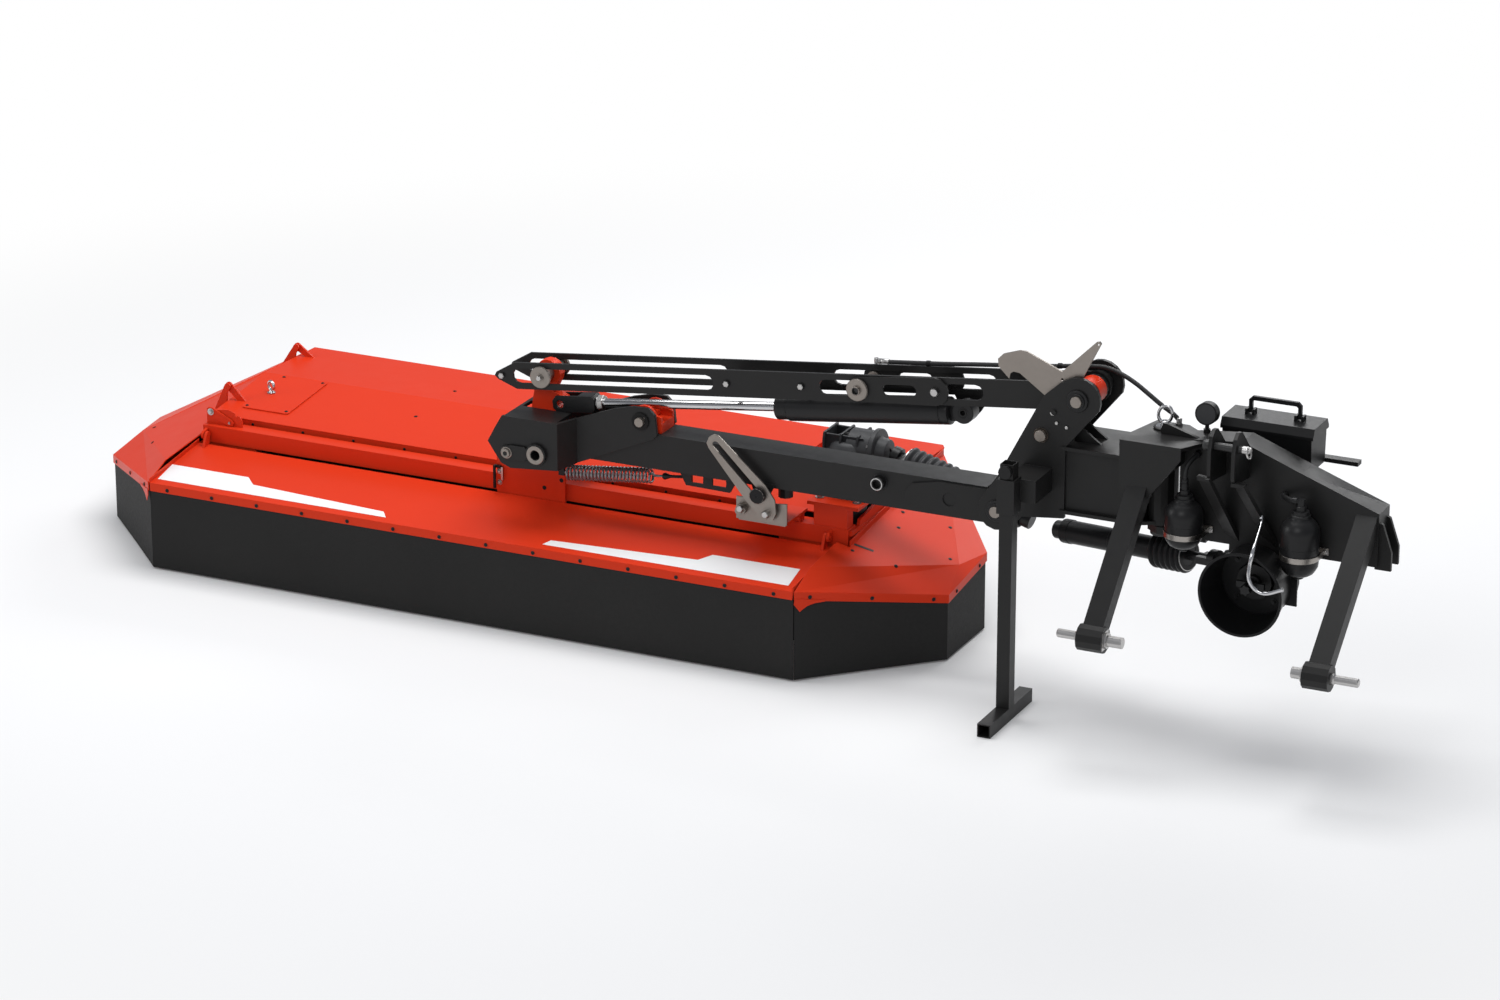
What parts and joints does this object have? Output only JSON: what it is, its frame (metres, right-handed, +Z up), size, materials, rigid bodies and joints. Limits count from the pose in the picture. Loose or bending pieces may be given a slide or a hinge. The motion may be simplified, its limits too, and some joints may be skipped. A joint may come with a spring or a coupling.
{
  "type": "rear mounted disc mower",
  "caption": "Rear-mounted disc mower with a wide guarded cutting deck hung from its middle by a folding arm, slotted link bars and ram, on a three-point headstock.",
  "frame": {"origin": "middle of the centre shoe's sole, on the ground under the line of the discs", "axes": "+X along the deck towards the headstock's end, -Y towards the tractor, +Z up"},
  "size_m": [4.822, 1.4131, 1.251],
  "materials": {
    "red_paint": "satin red-orange paint",
    "frame_paint": "satin dark grey paint",
    "cast_grey": "painted grey casting",
    "bare_steel": "bare rolled plate, slightly warm",
    "pin_steel": "zinc plated",
    "spring_steel": "oiled spring steel",
    "bright_pin": "polished",
    "chrome_rod": "polished",
    "curtain_rubber": "matt dark grey rubberised cloth",
    "hose_rubber": "matt black",
    "black_plastic": "matt black",
    "grey_plastic": "matt grey"
  },
  "bodies": {
    "headstock": {"headstock": "frame_paint", "swing_pin": "bright_pin", "top_link_pin": "pin_steel", "accumulator_left": "frame_paint", "accumulator_right": "frame_paint", "toolbox": "black_plastic", "input_gearbox": "frame_paint", "pto_guard": "black_plastic", "guard_right": "grey_plastic"},
    "swing": {"swing_frame": "frame_paint", "arm_pin": "pin_steel", "link_pin": "pin_steel", "hose": "hose_rubber"},
    "arm": {"arm": "frame_paint", "arm_head": "red_paint", "spring": "spring_steel"},
    "yoke": {"yoke": "frame_paint"},
    "deck": {"upright": "red_paint", "deck_frame": "red_paint", "top_cover": "red_paint", "hatch": "red_paint", "right_cover": "red_paint", "curtain_rear": "curtain_rubber", "curtain_right": "curtain_rubber", "cutterbar": "frame_paint", "gearbox": "cast_grey", "guard_left": "grey_plastic"},
    "front_guard": {"front_cover": "red_paint", "curtain_front": "curtain_rubber"},
    "end_guard": {"left_flap": "red_paint", "curtain_left": "curtain_rubber"},
    "limiter": {"limiter_plate": "bare_steel"},
    "link": {"link_bars": "frame_paint"},
    "rear_roller": {"roller_rear": "pin_steel"},
    "slider": {"link_slider": "frame_paint"},
    "front_roller": {"roller_front": "pin_steel", "roller_front_far": "pin_steel"},
    "ram": {"ram_barrel": "frame_paint"},
    "ram_rod": {"ram_rod": "chrome_rod"},
    "hook": {"transport_hook": "bare_steel"},
    "stand": {"stand_leg": "frame_paint"},
    "right_shaft": {"shaft_right": "pin_steel"},
    "left_shaft": {"shaft_left": "pin_steel"},
    "input": {"input_shaft": "pin_steel"},
    "toolbox_lid": {"toolbox_lid": "black_plastic"},
    "toolbox_handle": {"toolbox_handle": "black_plastic"},
    "disc_1": {"disc_1": "bare_steel", "knives_1": "spring_steel"},
    "disc_2": {"disc_2": "bare_steel", "knives_2": "spring_steel"},
    "disc_3": {"disc_3": "bare_steel", "knives_3": "spring_steel"},
    "disc_4": {"disc_4": "bare_steel", "knives_4": "spring_steel"},
    "disc_5": {"disc_5": "bare_steel", "knives_5": "spring_steel"},
    "disc_6": {"disc_6": "bare_steel", "knives_6": "spring_steel"},
    "disc_7": {"disc_7": "bare_steel", "knives_7": "spring_steel"}
  },
  "joints": [
    {"name": "breakaway_swing", "type": "hinge", "parent": "headstock", "child": "swing", "pos_m": [2.39, -0.25, 0.78], "axis": [0, 0, -1], "range_deg": [0, 18]},
    {"name": "arm_lift", "type": "hinge", "parent": "swing", "child": "arm", "pos_m": [1.854, -0.22, 0.64], "axis": [0, 1, 0], "range_deg": [0, 45]},
    {"name": "yoke_pivot", "type": "hinge", "parent": "arm", "child": "yoke", "pos_m": [0.567, -0.22, 0.741], "axis": [0, 1, 0], "range_deg": [-1.5, 1.5], "deforming": ["spring"]},
    {"name": "deck_tilt", "type": "hinge", "parent": "yoke", "child": "deck", "pos_m": [0.22, -0.22, 0.598], "axis": [0, 1, 0], "range_deg": [-3, 3]},
    {"name": "front_guard_lift", "type": "hinge", "parent": "deck", "child": "front_guard", "pos_m": [0, -0.172, 0.392], "axis": [-1, 0, 0], "range_deg": [0, 25]},
    {"name": "end_guard_fold", "type": "hinge", "parent": "deck", "child": "end_guard", "pos_m": [-1.2195, 0, 0.497], "axis": [0, 1, 0], "range_deg": [0, 90]},
    {"name": "limiter_turn", "type": "hinge", "parent": "deck", "child": "limiter", "pos_m": [1.028, -0.22, 0.49], "axis": [0, 1, 0], "range_deg": [-12, 8]},
    {"name": "link_turn", "type": "hinge", "parent": "swing", "child": "link", "pos_m": [2.124, -0.22, 1.051], "axis": [0, 1, 0], "range_deg": [0, 42], "deforming": ["hose"]},
    {"name": "slider_travel", "type": "slide", "parent": "link", "child": "slider", "axis": [0.994, 0, 0.1097], "range_m": [-0.11, 0.15]},
    {"name": "roller_travel", "type": "slide", "parent": "link", "child": "front_roller", "axis": [0.994, 0, 0.1097], "range_m": [0, 0.3599]},
    {"name": "rear_roller_spin", "type": "hinge", "parent": "slider", "child": "rear_roller", "pos_m": [1.34799, -0.22, 0.96536], "axis": [0, 1, 0], "continuous": true},
    {"name": "ram_tilt", "type": "hinge", "parent": "link", "child": "ram", "pos_m": [1.696, -0.22, 0.9215], "axis": [0, 1, 0], "range_deg": [-1, 1]},
    {"name": "ram_stroke", "type": "slide", "parent": "ram", "child": "ram_rod", "axis": [-0.992, 0, -0.1259], "range_m": [-0.3513, 0]},
    {"name": "hook_turn", "type": "hinge", "parent": "swing", "child": "hook", "pos_m": [2.044, -0.22, 1.003], "axis": [0, -1, 0], "range_deg": [0, 20]},
    {"name": "stand_lift", "type": "slide", "parent": "swing", "child": "stand", "axis": [0, 0, 1], "range_m": [0, 0.35]},
    {"name": "input_spin", "type": "hinge", "parent": "headstock", "child": "input", "pos_m": [2.745, -0.452, 0.556], "axis": [0, 1, 0], "continuous": true},
    {"name": "right_shaft_spin", "type": "hinge", "parent": "headstock", "child": "right_shaft", "pos_m": [2.611, -0.27, 0.568], "axis": [-0.9488, 0.3024, -0.0914], "continuous": true},
    {"name": "left_shaft_spin", "type": "hinge", "parent": "deck", "child": "left_shaft", "pos_m": [1.335, 0, 0.65], "axis": [0.9643, -0.0761, -0.2538], "continuous": true},
    {"name": "disc_1_spin", "type": "hinge", "parent": "deck", "child": "disc_1", "pos_m": [-1.2, 0, 0.104], "axis": [0, 0, 1], "continuous": true},
    {"name": "disc_2_spin", "type": "hinge", "parent": "deck", "child": "disc_2", "pos_m": [-0.8, 0, 0.104], "axis": [0, 0, 1], "continuous": true},
    {"name": "disc_3_spin", "type": "hinge", "parent": "deck", "child": "disc_3", "pos_m": [-0.4, 0, 0.104], "axis": [0, 0, 1], "continuous": true},
    {"name": "disc_4_spin", "type": "hinge", "parent": "deck", "child": "disc_4", "pos_m": [0, 0, 0.104], "axis": [0, 0, 1], "continuous": true},
    {"name": "disc_5_spin", "type": "hinge", "parent": "deck", "child": "disc_5", "pos_m": [0.4, 0, 0.104], "axis": [0, 0, 1], "continuous": true},
    {"name": "disc_6_spin", "type": "hinge", "parent": "deck", "child": "disc_6", "pos_m": [0.8, 0, 0.104], "axis": [0, 0, 1], "continuous": true},
    {"name": "disc_7_spin", "type": "hinge", "parent": "deck", "child": "disc_7", "pos_m": [1.2, 0, 0.104], "axis": [0, 0, 1], "continuous": true},
    {"name": "toolbox_lid_hinge", "type": "hinge", "parent": "headstock", "child": "toolbox_lid", "pos_m": [2.69, 0.0005, 0.9665], "axis": [-1, 0, 0], "range_deg": [0, 100]},
    {"name": "toolbox_handle_fold", "type": "hinge", "parent": "toolbox_lid", "child": "toolbox_handle", "pos_m": [2.69, -0.075, 1.0125], "axis": [1, 0, 0], "range_deg": [0, 80]}
  ],
  "couplings": [
    {"joint": "link_turn", "follows": "arm_lift", "ratio": 0.91107},
    {"joint": "roller_travel", "follows": "arm_lift", "m_per_rad": 0.4531},
    {"joint": "ram_tilt", "follows": "arm_lift", "ratio": -0.00909},
    {"joint": "ram_stroke", "follows": "arm_lift", "m_per_rad": -0.44346},
    {"joint": "right_shaft_spin", "follows": "input_spin", "ratio": 1},
    {"joint": "left_shaft_spin", "follows": "input_spin", "ratio": -1},
    {"joint": "disc_1_spin", "follows": "input_spin", "ratio": 5.5},
    {"joint": "disc_2_spin", "follows": "input_spin", "ratio": -5.5},
    {"joint": "disc_3_spin", "follows": "input_spin", "ratio": 5.5},
    {"joint": "disc_4_spin", "follows": "input_spin", "ratio": -5.5},
    {"joint": "disc_5_spin", "follows": "input_spin", "ratio": 5.5},
    {"joint": "disc_6_spin", "follows": "input_spin", "ratio": -5.5},
    {"joint": "disc_7_spin", "follows": "input_spin", "ratio": 5.5}
  ]
}
